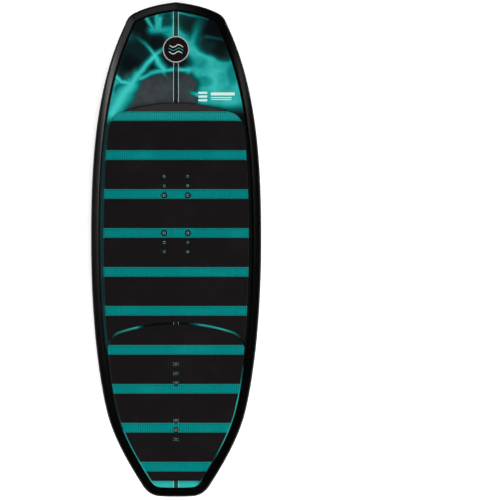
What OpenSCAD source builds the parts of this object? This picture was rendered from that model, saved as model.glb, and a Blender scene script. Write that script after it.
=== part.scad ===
// Short wake-foil board: moulded foam-core board with foam deck pads, threaded strap inserts
// and two foil tracks in the base. Millimetres. +X is the rider's right, +Y the nose, +Z out of the deck.
// The origin is under the middle of the board, on the plane that its base lies on.

/* [Board] */
// Length from nose to tail
board_l = 1334; // [1300:1:1380]
// Width at the widest point
board_w = 460; // [450:1:480]
// Thickness of the flat middle
board_t = 48; // [46:1:54]
// Thickness at the nose tip
nose_t = 22; // [18:1:30]
// Thickness at the tail tip
tail_t = 33; // [30:1:36]

/* [Rocker] */
// Lift of the nose tip above the flat of the base
nose_rocker = 45; // [30:1:60]
// Lift of the tail tip above the flat of the base
tail_rocker = 12; // [8:1:16]
// Front end of the flat of the base
flat_front_y = 205; // [200:1:230]
// Rear end of the flat of the base
flat_rear_y = -515; // [-520:1:-515]

/* [Rail] */
// Width of the rail band on the deck at mid-length
rail_w = 26.5; // [25:0.5:30]
// How much narrower the rail band is at the tips
rail_tip_loss = 1; // [0:0.5:4]
// Width of the rounded chine on the base
chine_w = 20; // [16:0.5:20]

/* [Laminate and core] */
// Thickness of the deck and base skins
skin_t = 2; // [1.5:0.5:3]
// Thickness of the centre stringer
stringer_t = 6; // [4:1:10]
// Width of the hard foam block round the foil tracks
foil_block_w = 128; // [124:2:140]
// Length of the hard foam block round the foil tracks
foil_block_l = 304; // [300:2:308]

/* [Deck pads] */
// Thickness of the teal under-layer of a pad
sheet_t = 3; // [2:0.5:4]
// Thickness of the black top bands of a pad
band_t = 2; // [1:0.5:3]
// Strip of bare deck between the ends of a pad and the rail band
pad_margin = 3; // [2:0.5:5]
// How much wider that strip is beside the middle of the board
pad_margin_gain = 4.5; // [0:0.5:6]
// Middle of the front pad's front edge
front_pad_y = 396; // [392:1:398]
// Middle of the tail pad's front edge
tail_pad_y = -201.5; // [-203:0.5:-200]
// Rear edge of the tail pad
tail_pad_end_y = -623; // [-628:1:-620]
// Gap between the two pads
pad_gap = 6; // [4:1:7]
// Distance from one teal stripe to the next
stripe_pitch = 105; // [104:0.2:106]
// Width of a teal stripe along the board
stripe_h = 26.2; // [24:0.2:28]
// Middle of the foremost teal stripe
first_stripe_y = 360.1; // [360:0.1:361]

/* [Strap inserts] */
// Middle of the front strap inserts along the board
front_insert_y = 96; // [92:1:98]
// Middle of the rear strap inserts along the board
rear_insert_y = -410; // [-413:0.5:-408]
// Distance between the two columns of front inserts
insert_column_gap = 63.5; // [63.5:0.5:64]
// Distance between neighbouring inserts in a row
insert_pitch = 25.4; // [25:0.1:26]
// Outside diameter of an insert housing
housing_d = 14; // [13:0.5:15]
// Length of an insert housing
housing_l = 18; // [16:1:19]
// Outside diameter of a threaded bush
bush_d = 9; // [8.5:0.5:10]
// Thread diameter of a bush
thread_d = 6; // [5:1:6]

/* [Foil tracks] */
// Distance between the two tracks
track_gap = 90; // [90:1:92]
// Middle of the tracks along the board
track_y = -333; // [-335:1:-331]
// Length of the slot in a track
slot_l = 268; // [260:1:270]
// Width of the slot in a track
slot_w = 9.4; // [9.2:0.1:9.8]
// Width of the entry in the middle of a track
entry_w = 16.4; // [16.2:0.1:17]
// Length of the entry in the middle of a track
entry_l = 22.7; // [22.2:0.1:24]
// Distance between the front and rear track nuts
nut_spacing = 165; // [150:1:180]
// Thread diameter of a track nut
nut_thread_d = 8; // [6:2:8]

/* [Hidden] */
front_bands = 7;
tail_bands = 5;
front_stripes = front_bands - 1;

// Half of the outline, from the nose round to the tail: a row of Bezier curves on a board of
// outline_l by outline_w, each with its four points and the number of steps it is drawn in.
outline_l = 1334;
outline_w = 460;
outline_curves = [
    [[0, 667], [48, 662], [84, 652], [108, 640], 7],
    [[108, 640], [129, 631], [133, 619], [139, 604], 7],
    [[139, 604], [224, 427], [230, 205], [230, 25], 16],
    [[230, 25], [230, -267], [191, -430], [180, -462], 14],
    [[180, -462], [171, -488], [156, -534], [96, -628], 8],
    [[96, -628], [84, -649], [69, -665], [42, -666], 6],
    [[42, -666], [28, -667], [14, -667], [0, -667], 2]
];

function bezier(p, t) =
    pow(1 - t, 3) * p[0] + 3 * pow(1 - t, 2) * t * p[1] + 3 * (1 - t) * t * t * p[2] + pow(t, 3) * p[3];
function to_board(p) = [p.x * board_w / outline_w, p.y * board_l / outline_l];

right_half = [for (c = outline_curves) for (k = [0 : c[4] - 1]) to_board(bezier(c, k / c[4]))];
left_half = [for (i = [len(right_half) - 1 : -1 : 1]) [-right_half[i].x, right_half[i].y]];
outline = concat(right_half, [[0, -board_l / 2]], left_half);
corners = len(outline);

// Direction from each outline point straight in towards the middle of the board
function inward(i) =
    let (d = outline[(i + 1) % corners] - outline[(i + corners - 1) % corners])
    [d.y, -d.x] / norm(d);
inwards = [for (i = [0 : corners - 1]) inward(i)];
function band_w(i) = rail_w - rail_tip_loss * pow(2 * outline[i].y / board_l, 2);
inner_outline = [for (i = [0 : corners - 1]) outline[i] + inwards[i] * band_w(i)];

// Outline that the pads keep inside: the strip of bare deck beside them is widest at wide_strip_y
wide_strip_y = 60;
wide_strip_reach = 420;
function strip_w(i) =
    pad_margin + pad_margin_gain * max(0, 1 - pow((outline[i].y - wide_strip_y) / wide_strip_reach, 2));
pad_outline = [for (i = [0 : corners - 1]) inner_outline[i] + inwards[i] * strip_w(i)];

// Side profile: the base and deck heights at stations along the board, straight in between
nose_steps = 9;
tail_steps = 5;
nose_run = board_l / 2 - flat_front_y;
tail_run = board_l / 2 + flat_rear_y;
stations = concat(
    [for (k = [tail_steps : -1 : 0]) flat_rear_y - tail_run * k / tail_steps],
    [for (k = [0 : nose_steps]) flat_front_y + nose_run * k / nose_steps]
);
function nose_share(y) = max(0, y - flat_front_y) / nose_run;
function tail_share(y) = max(0, flat_rear_y - y) / tail_run;
function curve_base(y) = nose_rocker * pow(nose_share(y), 2) + tail_rocker * pow(tail_share(y), 2);
function curve_t(y) =
    board_t - (board_t - nose_t) * pow(nose_share(y), 2) - (board_t - tail_t) * pow(tail_share(y), 2);
base_line = [for (y = stations) [y, curve_base(y)]];
deck_line = [for (y = stations) [y, curve_base(y) + curve_t(y)]];
function base_z(y) = lookup(y, base_line);
function deck_z(y) = lookup(y, deck_line);

// Rail section from the base's inner edge round to the deck's: distance in from the outline,
// as [share of the chine width, share of the band width], and share of the thickness
rail_section = [
    [0, 1, 0],
    [1, 0, 0],
    [0.3, 0, 0.17],
    [0.08, 0, 0.28],
    [0, 0, 0.4],
    [0, 0, 0.52],
    [0, 0.04, 0.67],
    [0, 0.15, 0.8],
    [0, 0.77, 0.965],
    [0, 1, 1]
];
ring = len(rail_section);
function rail_point(i, s) =
    let (p = outline[i] + inwards[i] * (s[0] * chine_w + s[1] * band_w(i)))
    [p.x, p.y, base_z(p.y) * (1 - s[2]) + deck_z(p.y) * s[2]];

// Places that several sub-parts share
insert_rows = [for (side = [-1, 1]) for (k = [2 : 4]) side * k * insert_pitch];
front_insert_places = [
    for (column = [-1, 1]) for (row = insert_rows) [column * insert_column_gap / 2, front_insert_y + row]
];
rear_insert_places = [for (row = insert_rows) [0, rear_insert_y + row]];
insert_group_offset = 3 * insert_pitch;
insert_block_w = 31;
insert_block_l = 79;
insert_block_h = 20;
bush_l = 14;
bush_recess = 0.5;
pad_hole_d = 16;
box_wall = 5.3;
box_end = 9;
box_top_z = 20;
lip_top_z = 6.5;
cavity_top_z = 15.5;
entry_taper_l = 6;
nut_l = 21;
nut_head_w = 15.6;
nut_neck_w = 9;
nut_head_h = 6;
nut_play = 0.05;
nut_bottom_z = skin_t + 0.6;
label_size = [102, 106];
label_place = [0, -561];
label_t = 0.3;
badge_y = 540;
badge_r = 35.6;
badge_t = 1;
far = 2000;

/* Building blocks */

// A layer that follows the side profile, between a height over the base and one under the deck
module core_layer(over_base, under_deck) {
    low = [for (p = base_line) [p.x, p.y + over_base]];
    high = [for (k = [len(deck_line) - 1 : -1 : 0]) [deck_line[k].x, deck_line[k].y - under_deck]];
    rotate([90, 0, 90])
        linear_extrude(board_w, center = true)
            polygon(concat(low, high));
}

// A layer along one face, between two heights over that face's line
module face_layer(line, low_h, high_h) {
    low = [for (p = line) [p.x, p.y + low_h]];
    high = [for (k = [len(line) - 1 : -1 : 0]) [line[k].x, line[k].y + high_h]];
    rotate([90, 0, 90])
        linear_extrude(board_w, center = true)
            polygon(concat(low, high));
}

// Everything inside the rail band
module inner_prism() {
    translate([0, 0, -board_t])
        linear_extrude(4 * board_t)
            polygon(inner_outline);
}

module holes(places, d) {
    for (p = places)
        translate([p.x, p.y, -board_t])
            cylinder(d = d, h = 4 * board_t, $fn = 48);
}

// Box around a place, tall enough to cut through the board
module tall_box(x, y, w, l) {
    translate([x - w / 2, y - l / 2, -board_t])
        cube([w, l, 4 * board_t]);
}

module insert_block_boxes(x, y) {
    for (side = [-1, 1])
        translate([x - insert_block_w / 2, y + side * insert_group_offset - insert_block_l / 2, 0])
            cube([insert_block_w, insert_block_l, far]);
}

// Room of the insert blocks: from their depth under the deck skin upwards
module insert_block_room(x, y) {
    intersection() {
        insert_block_boxes(x, y);
        face_layer(deck_line, -skin_t - insert_block_h, 0);
    }
}

/* Core */

module core_half(side) {
    color("whitesmoke")
        difference() {
            intersection() {
                inner_prism();
                core_layer(skin_t, skin_t);
                translate([side > 0 ? stringer_t / 2 : -far - stringer_t / 2, -far / 2, -far / 2])
                    cube([far, far, far]);
            }
            tall_box(0, track_y, foil_block_w, foil_block_l);
            insert_block_room(side * insert_column_gap / 2, front_insert_y);
            insert_block_room(0, rear_insert_y);
        }
}

module core_left() {
    core_half(-1);
}

module core_right() {
    core_half(1);
}

module centre_stringer() {
    color("burlywood")
        difference() {
            intersection() {
                inner_prism();
                core_layer(skin_t, skin_t);
                tall_box(0, 0, stringer_t, far);
            }
            tall_box(0, track_y, foil_block_w, foil_block_l);
            insert_block_room(0, rear_insert_y);
        }
}

module foil_block() {
    color("goldenrod")
        difference() {
            intersection() {
                core_layer(skin_t, skin_t);
                tall_box(0, track_y, foil_block_w, foil_block_l);
            }
            insert_block_room(0, rear_insert_y);
            for (side = [-1, 1])
                track_body(side);
        }
}

module insert_blocks(x, y, places) {
    difference() {
        intersection() {
            insert_block_room(x, y);
            core_layer(skin_t, skin_t);
        }
        housing_bodies(places);
    }
}

module front_insert_blocks() {
    color("khaki")
        for (side = [-1, 1])
            insert_blocks(side * insert_column_gap / 2, front_insert_y, front_insert_places);
}

module rear_insert_blocks() {
    color("khaki")
        insert_blocks(0, rear_insert_y, rear_insert_places);
}

/* Skins and rail */

module deck_skin() {
    color("teal")
        difference() {
            intersection() {
                inner_prism();
                face_layer(deck_line, -skin_t, 0);
            }
            holes(concat(front_insert_places, rear_insert_places), housing_d);
        }
}

module base_skin() {
    color([0.09, 0.09, 0.1])
        difference() {
            intersection() {
                inner_prism();
                face_layer(base_line, 0, skin_t);
            }
            for (side = [-1, 1])
                track_slot(side, -1, skin_t + 1);
            label_body();
        }
}

module rail_band() {
    points = [for (i = [0 : corners - 1]) for (s = rail_section) rail_point(i, s)];
    faces = [
        for (i = [0 : corners - 1]) for (k = [0 : ring - 1])
            let (a = i * ring, b = ((i + 1) % corners) * ring, n = (k + 1) % ring)
            for (f = [[a + k, a + n, b + n], [a + k, b + n, b + k]]) f
    ];
    color([0.05, 0.05, 0.055])
        polyhedron(points, faces, convexity = 6);
}

/* Foil tracks and nuts */

// Outline of a slot with round ends and its wider entry, which tapers on the tail side
module slot_plan() {
    straight = slot_l - slot_w;
    square([slot_w, straight], center = true);
    for (end = [-1, 1])
        translate([0, end * straight / 2])
            circle(d = slot_w, $fn = 32);
    square([entry_w, entry_l], center = true);
    polygon([
        [-entry_w / 2, -entry_l / 2],
        [-slot_w / 2, -entry_l / 2 - entry_taper_l],
        [slot_w / 2, -entry_l / 2 - entry_taper_l],
        [entry_w / 2, -entry_l / 2]
    ]);
}

module track_slot(side, low_z, high_z) {
    translate([side * track_gap / 2, track_y, low_z])
        linear_extrude(high_z - low_z)
            slot_plan();
}

module track_body(side) {
    w = entry_w + 2 * box_wall;
    l = slot_l + 2 * box_end;
    translate([side * track_gap / 2 - w / 2, track_y - l / 2, skin_t])
        cube([w, l, box_top_z - skin_t]);
}

module foil_track(side) {
    color([0.2, 0.2, 0.21])
        difference() {
            track_body(side);
            track_slot(side, 0, lip_top_z + 1);
            translate([side * track_gap / 2 - entry_w / 2, track_y - slot_l / 2, lip_top_z])
                cube([entry_w, slot_l, cavity_top_z - lip_top_z]);
        }
}

module foil_track_left() {
    foil_track(-1);
}

module foil_track_right() {
    foil_track(1);
}

module track_nut(side, end) {
    head_z = lip_top_z + nut_play;
    color([0.32, 0.32, 0.34])
        translate([side * track_gap / 2, track_y + end * nut_spacing / 2, 0])
            difference() {
                union() {
                    translate([-nut_head_w / 2, -nut_l / 2, head_z])
                        cube([nut_head_w, nut_l, nut_head_h]);
                    translate([-nut_neck_w / 2, -nut_l / 2, nut_bottom_z])
                        cube([nut_neck_w, nut_l, head_z - nut_bottom_z]);
                }
                cylinder(d = nut_thread_d, h = box_top_z, $fn = 48);
            }
}

module track_nut_left_front() {
    track_nut(-1, 1);
}

module track_nut_left_rear() {
    track_nut(-1, -1);
}

module track_nut_right_front() {
    track_nut(1, 1);
}

module track_nut_right_rear() {
    track_nut(1, -1);
}

/* Strap inserts */

module housing_bodies(places) {
    for (p = places)
        translate([p.x, p.y, deck_z(p.y) - housing_l])
            cylinder(d = housing_d, h = housing_l, $fn = 48);
}

module insert_housings(places) {
    color([0.08, 0.08, 0.09])
        intersection() {
            difference() {
                housing_bodies(places);
                for (p = places)
                    translate([p.x, p.y, deck_z(p.y) - bush_recess - bush_l])
                        cylinder(d = bush_d, h = far, $fn = 48);
            }
            face_layer(deck_line, -2 * housing_l, 0);
        }
}

module insert_bushes(places) {
    color("silver")
        for (p = places)
            translate([p.x, p.y, deck_z(p.y) - bush_recess - bush_l])
                difference() {
                    cylinder(d = bush_d, h = bush_l, $fn = 48);
                    translate([0, 0, -1])
                        cylinder(d = thread_d, h = bush_l + 2, $fn = 48);
                }
}

module front_insert_housings() {
    insert_housings(front_insert_places);
}

module rear_insert_housings() {
    insert_housings(rear_insert_places);
}

module front_insert_bushes() {
    insert_bushes(front_insert_places);
}

module rear_insert_bushes() {
    insert_bushes(rear_insert_places);
}

/* Deck pads */

front_arc_r = 440;
tail_arc_r = 490;
edge_step = 5;
edge_reach = 200;
function arc_drop(x, r) = r - sqrt(r * r - x * x);
function corner_drop(x, start, r) =
    abs(x) > start ? r - sqrt(r * r - pow(min(abs(x) - start, r), 2)) : 0;
function front_edge_y(x) = front_pad_y - arc_drop(x, front_arc_r) - corner_drop(x, 155, 25);
function tail_edge_y(x) = tail_pad_y - arc_drop(x, tail_arc_r) - corner_drop(x, 155, 26);
lowest_front_pad_y = tail_pad_y - 44;
function stripe_y(k) = first_stripe_y - k * stripe_pitch;

module front_pad_plan() {
    front_edge = [for (x = [-edge_reach : edge_step : edge_reach]) [x, front_edge_y(x)]];
    rear_edge = [
        for (x = [edge_reach : -edge_step : -edge_reach])
            [x, max(tail_edge_y(x) + pad_gap, lowest_front_pad_y)]
    ];
    intersection() {
        polygon(pad_outline);
        polygon(concat(front_edge, rear_edge));
    }
}

module tail_pad_plan() {
    front_edge = [for (x = [-edge_reach : edge_step : edge_reach]) [x, tail_edge_y(x)]];
    rear_edge = [[edge_reach, tail_pad_end_y], [-edge_reach, tail_pad_end_y]];
    intersection() {
        polygon(pad_outline);
        polygon(concat(front_edge, rear_edge));
    }
}

// The part of a pad's layer that lies between two lines across the board
module pad_piece(front_y, rear_y, low_h, high_h) {
    difference() {
        intersection() {
            linear_extrude(4 * board_t)
                intersection() {
                    children();
                    translate([-edge_reach, rear_y])
                        square([2 * edge_reach, front_y - rear_y]);
                }
            face_layer(deck_line, low_h, high_h);
        }
        holes(concat(front_insert_places, rear_insert_places), pad_hole_d);
    }
}

module front_pad_sheet() {
    color([0.0, 0.55, 0.5])
        pad_piece(far, -far, 0, sheet_t)
            front_pad_plan();
}

module tail_pad_sheet() {
    color([0.0, 0.55, 0.5])
        pad_piece(far, -far, 0, sheet_t)
            tail_pad_plan();
}

module front_pad_band(i) {
    front_y = i == 1 ? far : stripe_y(i - 2) - stripe_h / 2;
    rear_y = i == front_bands ? -far : stripe_y(i - 1) + stripe_h / 2;
    color([0.1, 0.1, 0.105])
        pad_piece(front_y, rear_y, sheet_t, sheet_t + band_t)
            front_pad_plan();
}

module tail_pad_band(i) {
    first = front_stripes + i - 1;
    front_y = i == 1 ? far : stripe_y(first - 1) - stripe_h / 2;
    rear_y = i == tail_bands ? -far : stripe_y(first) + stripe_h / 2;
    color([0.1, 0.1, 0.105])
        pad_piece(front_y, rear_y, sheet_t, sheet_t + band_t)
            tail_pad_plan();
}

/* Badge and label */

module deck_badge() {
    color([0.05, 0.05, 0.05])
        intersection() {
            face_layer(deck_line, 0, badge_t);
            translate([0, badge_y, 0])
                cylinder(r = badge_r, h = 4 * board_t, $fn = 96);
        }
}

module label_body() {
    intersection() {
        face_layer(base_line, 0, label_t);
        tall_box(label_place.x, label_place.y, label_size.x, label_size.y);
    }
}

module base_label() {
    color("white")
        label_body();
}

core_left();
core_right();
centre_stringer();
foil_block();
front_insert_blocks();
rear_insert_blocks();
deck_skin();
base_skin();
rail_band();
foil_track_left();
foil_track_right();
track_nut_left_front();
track_nut_left_rear();
track_nut_right_front();
track_nut_right_rear();
front_insert_housings();
rear_insert_housings();
front_insert_bushes();
rear_insert_bushes();
front_pad_sheet();
tail_pad_sheet();
for (i = [1 : front_bands])
    front_pad_band(i);
for (i = [1 : tail_bands])
    tail_pad_band(i);
deck_badge();
base_label();
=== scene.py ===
import math
from functools import reduce
from itertools import groupby

import bmesh
import bpy
import numpy as np
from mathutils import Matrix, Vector
from mathutils.geometry import delaunay_2d_cdt


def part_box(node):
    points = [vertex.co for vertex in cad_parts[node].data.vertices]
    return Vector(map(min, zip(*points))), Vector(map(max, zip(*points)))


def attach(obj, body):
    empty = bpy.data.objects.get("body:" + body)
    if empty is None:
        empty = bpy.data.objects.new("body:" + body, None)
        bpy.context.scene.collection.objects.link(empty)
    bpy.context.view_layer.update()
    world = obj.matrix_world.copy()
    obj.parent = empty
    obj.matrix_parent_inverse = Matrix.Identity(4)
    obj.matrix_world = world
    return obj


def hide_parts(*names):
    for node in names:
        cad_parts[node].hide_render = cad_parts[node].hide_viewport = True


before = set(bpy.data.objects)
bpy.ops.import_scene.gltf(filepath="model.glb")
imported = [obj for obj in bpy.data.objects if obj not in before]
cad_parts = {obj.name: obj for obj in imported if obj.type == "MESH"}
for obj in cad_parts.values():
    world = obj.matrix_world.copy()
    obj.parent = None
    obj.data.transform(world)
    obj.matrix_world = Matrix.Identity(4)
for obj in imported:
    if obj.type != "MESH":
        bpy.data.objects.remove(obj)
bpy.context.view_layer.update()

MM = 0.001

# -------- the board's driving sizes

RAIL_LOW, RAIL_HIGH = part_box("rail_band")
BOARD_L = RAIL_HIGH.y - RAIL_LOW.y
BOARD_T = 48 * MM
NOSE_T = 22 * MM
TAIL_T = 33 * MM
NOSE_ROCKER = 45 * MM
TAIL_ROCKER = 12 * MM
FLAT_FRONT_Y = 205 * MM
FLAT_REAR_Y = -515 * MM
RAIL_W = 26.5 * MM
RAIL_TIP_LOSS = 1 * MM
CHINE_W = 20 * MM
SKIN_T = 2 * MM

# Half of the outline from the nose to the tail: Bezier curves in millimetres, with their steps
OUTLINE_CURVES = [
    [(0, 667), (48, 662), (84, 652), (108, 640), 28],
    [(108, 640), (129, 631), (133, 619), (139, 604), 28],
    [(139, 604), (224, 427), (230, 205), (230, 25), 64],
    [(230, 25), (230, -267), (191, -430), (180, -462), 56],
    [(180, -462), (171, -488), (156, -534), (96, -628), 32],
    [(96, -628), (84, -649), (69, -665), (42, -666), 24],
    [(42, -666), (28, -667), (14, -667), (0, -667), 8],
]
NORMAL_REACH = 4

# Pads
SHEET_T = 3 * MM
BAND_T = 2 * MM
PAD_MARGIN = 3 * MM
PAD_MARGIN_GAIN = 4.5 * MM
WIDE_STRIP_Y = 60 * MM
WIDE_STRIP_REACH = 420 * MM
PAD_GAP = 6 * MM
WIDEST_PAD_X = 200 * MM
PAD_EDGE_POINTS = 60
PAD_SIDE_STEP = 8 * MM
FRONT_PAD_Y = 396 * MM
TAIL_PAD_Y = -201.5 * MM
TAIL_PAD_END_Y = -623 * MM
LOWEST_FRONT_PAD_Y = TAIL_PAD_Y - 44 * MM
FRONT_ARC_R = 440 * MM
TAIL_ARC_R = 490 * MM
CORNER_START_X = 155 * MM
FRONT_CORNER_R = 25 * MM
TAIL_CORNER_R = 26 * MM
STRIPE_PITCH = 105 * MM
STRIPE_H = 26.2 * MM
FIRST_STRIPE_Y = 360.1 * MM
FRONT_BANDS = 7
TAIL_BANDS = 5
FRONT_STRIPES = FRONT_BANDS - 1
CUT_BEVEL = 1 * MM
SIDE_BEVEL = 2 * MM
TAIL_BEVEL = 5 * MM
TAIL_BEVEL_Y = -560 * MM
SIDE_BEVEL_Y = -360 * MM

# Ribs of the stripes: half widths at foot and top, and the ground that they stand on
RIB_PITCH = 4.8 * MM
RIB_FOOT = 1.9 * MM
RIB_TOP = 1.35 * MM
RIB_SIDE_ROOM = 2.2 * MM
SHORTEST_RIB = 3 * MM
GROOVE_H = 1.9 * MM
STRIPE_BORDER = 2.6 * MM
HOLE_CLEARANCE = 1.8 * MM

# Strap inserts
FRONT_INSERT_Y = 96 * MM
REAR_INSERT_Y = -410 * MM
INSERT_COLUMN_GAP = 63.5 * MM
INSERT_PITCH = 25.4 * MM
HOUSING_R = 7 * MM
HOUSING_L = 18 * MM
BUSH_R = 4.5 * MM
BUSH_L = 14 * MM
BUSH_RECESS = 0.5 * MM
THREAD_R = 3 * MM
PAD_HOLE_R = 8 * MM
LIP_W = 1.4 * MM
COLLAR_R = 3.5 * MM

# Foil tracks
TRACK_X = 45 * MM
TRACK_Y = -333 * MM
SLOT_L = 268 * MM
SLOT_W = 9.4 * MM
ENTRY_W = 16.4 * MM
ENTRY_L = 22.7 * MM
ENTRY_TAPER_L = 6 * MM

# Slanted marks of the base print: the line of their inner ends, their slope and their rows
MARK_INNER_X = 131 * MM
MARK_INNER_SLOPE = 0.0185
MARK_MIDDLE_X = 130 * MM
MARK_SLOPE = 0.445
MARK_PITCH = 114.3 * MM
MARK_FRONT_Y = 554.9 * MM
MARK_COUNT = 10

# Round emblem of the base print, how soft the lines of such marks are, and the deck's pinlines
EMBLEM_Y = 447 * MM
EMBLEM_R = 101.2 * MM
LINE_SOFTNESS = 0.8 * MM
PINLINE_X = 6.5 * MM

# Teal bars of the base print, in millimetres: their sides, and the low and high y of each
BAR_LOW_X = 72
BAR_HIGH_X = 105
BASE_BARS = [
    (79, 95), (40, 62), (6, 24), (-42, -12), (-78, -58), (-134, -94), (-172, -152),
    (-222, -190), (-262, -240), (-330, -282), (-372, -350), (-436, -392), (-476, -456), (-523, -508),
]

# Badge and label
BADGE_Y = 540 * MM
BADGE_R = 35.6 * MM
BADGE_RING_W = 2.7 * MM
LABEL_W = 102 * MM
LABEL_L = 106 * MM
LABEL_Y = -561 * MM
LABEL_T = 0.3 * MM
LABEL_PROUD = 0.12 * MM
LABEL_STEP = 6 * MM


# -------- shape of the board

def bezier(curve, t):
    a, b, c, d = (np.array(p, float) for p in curve[:4])
    return a * (1 - t) ** 3 + b * 3 * t * (1 - t) ** 2 + c * 3 * t * t * (1 - t) + d * t ** 3


def outline_points():
    """The outline, clockwise seen from above, starting at the nose."""
    right = [bezier(c, k / c[4]) for c in OUTLINE_CURVES for k in range(c[4])]
    left = [p * (-1, 1) for p in right[:0:-1]]
    return np.array(right + [np.array(OUTLINE_CURVES[-1][3], float)] + left) * MM


OUTLINE = outline_points()
HALF_COUNT = len(OUTLINE) // 2


def inward_normals(loop, reach):
    along = np.roll(loop, -reach, axis=0) - np.roll(loop, reach, axis=0)
    inward = np.stack([along[:, 1], -along[:, 0]], axis=1)
    return inward / np.linalg.norm(inward, axis=1)[:, None]


INWARDS = inward_normals(OUTLINE, NORMAL_REACH)
RAIL_WIDTHS = RAIL_W - RAIL_TIP_LOSS * (2 * OUTLINE[:, 1] / BOARD_L) ** 2
INNER_OUTLINE = OUTLINE + INWARDS * RAIL_WIDTHS[:, None]


def pad_outline():
    """The line that the pads keep inside: the strip of bare deck is widest beside the middle."""
    share = (OUTLINE[:, 1] - WIDE_STRIP_Y) / WIDE_STRIP_REACH
    strip = PAD_MARGIN + PAD_MARGIN_GAIN * np.maximum(0, 1 - share ** 2)
    return INNER_OUTLINE + INWARDS * strip[:, None]


def nose_share(y):
    return max(0.0, y - FLAT_FRONT_Y) / (BOARD_L / 2 - FLAT_FRONT_Y)


def tail_share(y):
    return max(0.0, FLAT_REAR_Y - y) / (BOARD_L / 2 + FLAT_REAR_Y)


def base_z(y):
    return NOSE_ROCKER * nose_share(y) ** 2 + TAIL_ROCKER * tail_share(y) ** 2


def thickness(y):
    return BOARD_T - (BOARD_T - NOSE_T) * nose_share(y) ** 2 - (BOARD_T - TAIL_T) * tail_share(y) ** 2


def deck_z(y):
    return base_z(y) + thickness(y)


# Rail section from the base's inner edge round to the deck's: share of the chine's width,
# share of the band's width, share of the thickness, and drop below that
RAIL_SECTION = [
    (0, 1, 0, 0), (1.08, 0, 0, 0), (1, 0, 0.004, 0), (0.92, 0, 0.022, 0),
    (0.3, 0, 0.165, 0), (0.18, 0, 0.205, 0), (0.1, 0, 0.26, 0), (0.04, 0, 0.33, 0),
    (0, 0, 0.42, 0), (0, 0, 0.52, 0), (0, 0.025, 0.6, 0), (0, 0.06, 0.69, 0),
    (0, 0.1, 0.76, 0), (0, 0.135, 0.8, 0), (0, 0.17, 0.819, 0), (0, 0.24, 0.838, 0),
    (0, 0.7, 0.952, 0), (0, 0.745, 0.961, 0), (0, 0.78, 0.965, 0), (0, 0.86, 0.967, 0),
    (0, 0.875, 0.967, 0.3 * MM), (0, 0.89, 0.968, 1.4 * MM),
    (0, 0.935, 0.975, 1.5 * MM), (0, 0.95, 0.99, 0.2 * MM),
    (0, 0.965, 1, 0), (0, 1, 1, 0),
]

INSERT_ROWS = [side * k * INSERT_PITCH for side in (-1, 1) for k in (2, 3, 4)]
FRONT_INSERTS = [
    (column * INSERT_COLUMN_GAP / 2, FRONT_INSERT_Y + row) for column in (-1, 1) for row in INSERT_ROWS
]
REAR_INSERTS = [(0, REAR_INSERT_Y + row) for row in INSERT_ROWS]
ALL_INSERTS = FRONT_INSERTS + REAR_INSERTS


# -------- mesh building blocks

def new_piece(name, vertices, faces, material, sharp_angle=32):
    """An object from plain lists, welded, facing outwards and smooth up to the sharp angle."""
    mesh = bpy.data.meshes.new(name)
    mesh.from_pydata([tuple(v) for v in vertices], [], faces)
    mesh.materials.append(material)
    piece = bpy.data.objects.new(name, mesh)
    bpy.context.scene.collection.objects.link(piece)
    finish_mesh(piece, sharp_angle)
    return piece


def finish_mesh(piece, sharp_angle=32):
    """Welds the mesh, drops empty faces, turns it outwards and shades it by the angle of its edges."""
    work = bmesh.new()
    work.from_mesh(piece.data)
    bmesh.ops.remove_doubles(work, verts=work.verts, dist=1e-6)
    bmesh.ops.dissolve_degenerate(work, edges=work.edges, dist=1e-6)
    bmesh.ops.recalc_face_normals(work, faces=work.faces)
    for face in work.faces:
        face.smooth = True
    for edge in work.edges:
        edge.smooth = len(edge.link_faces) == 2 and edge.calc_face_angle(0) < math.radians(sharp_angle)
    work.to_mesh(piece.data)
    work.free()


def add_piece(piece, slot, *replaced, body="board"):
    """Makes the piece ride its body and stand for the CAD nodes."""
    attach(piece, body)
    if replaced:
        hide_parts(*replaced)


def ring_faces(start, count, rows, closed_rows=False):
    """Quads between rows of a ring: row r holds the vertices start + r * count onwards."""
    last = rows if closed_rows else rows - 1
    faces = []
    for r in range(last):
        low, high = start + r * count, start + (r + 1) % rows * count
        for i in range(count):
            j = (i + 1) % count
            faces.append((low + i, low + j, high + j, high + i))
    return faces


def lathe(centre, profile, steps):
    """Vertices and faces of a ring or, where the profile starts and ends at radius 0, a solid."""
    turns = [2 * math.pi * i / steps for i in range(steps)]
    vertices = [
        (centre[0] + radius * math.cos(turn), centre[1] + radius * math.sin(turn), z)
        for radius, z in profile for turn in turns
    ]
    return vertices, ring_faces(0, steps, len(profile), profile[0][0] > 0)


def joined(parts):
    """One list of vertices and faces from several."""
    vertices, faces = [], []
    for part_vertices, part_faces in parts:
        start = len(vertices)
        vertices.extend(part_vertices)
        faces.extend(tuple(start + i for i in face) for face in part_faces)
    return vertices, faces


def subtract(piece, cutter):
    """Cuts the cutter's shape out of the piece, merges the piece's parts and removes the cutter."""
    modifier = piece.modifiers.new("cut", "BOOLEAN")
    modifier.operation = "DIFFERENCE"
    modifier.solver = "EXACT"
    modifier.use_self = True
    modifier.object = cutter
    result = bpy.data.meshes.new_from_object(piece.evaluated_get(bpy.context.evaluated_depsgraph_get()))
    piece.modifiers.remove(modifier)
    piece.data = result
    bpy.data.meshes.remove(cutter.data)
    finish_mesh(piece)


def mark_faces(piece, material, lowest, highest):
    """Gives the faces whose upward share of the normal is in the range their own material."""
    piece.data.materials.append(material)
    for face in piece.data.polygons:
        face.material_index = int(lowest <= face.normal.z < highest)


def unit(vector):
    return vector / max(np.linalg.norm(vector), 1e-12)


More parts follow.
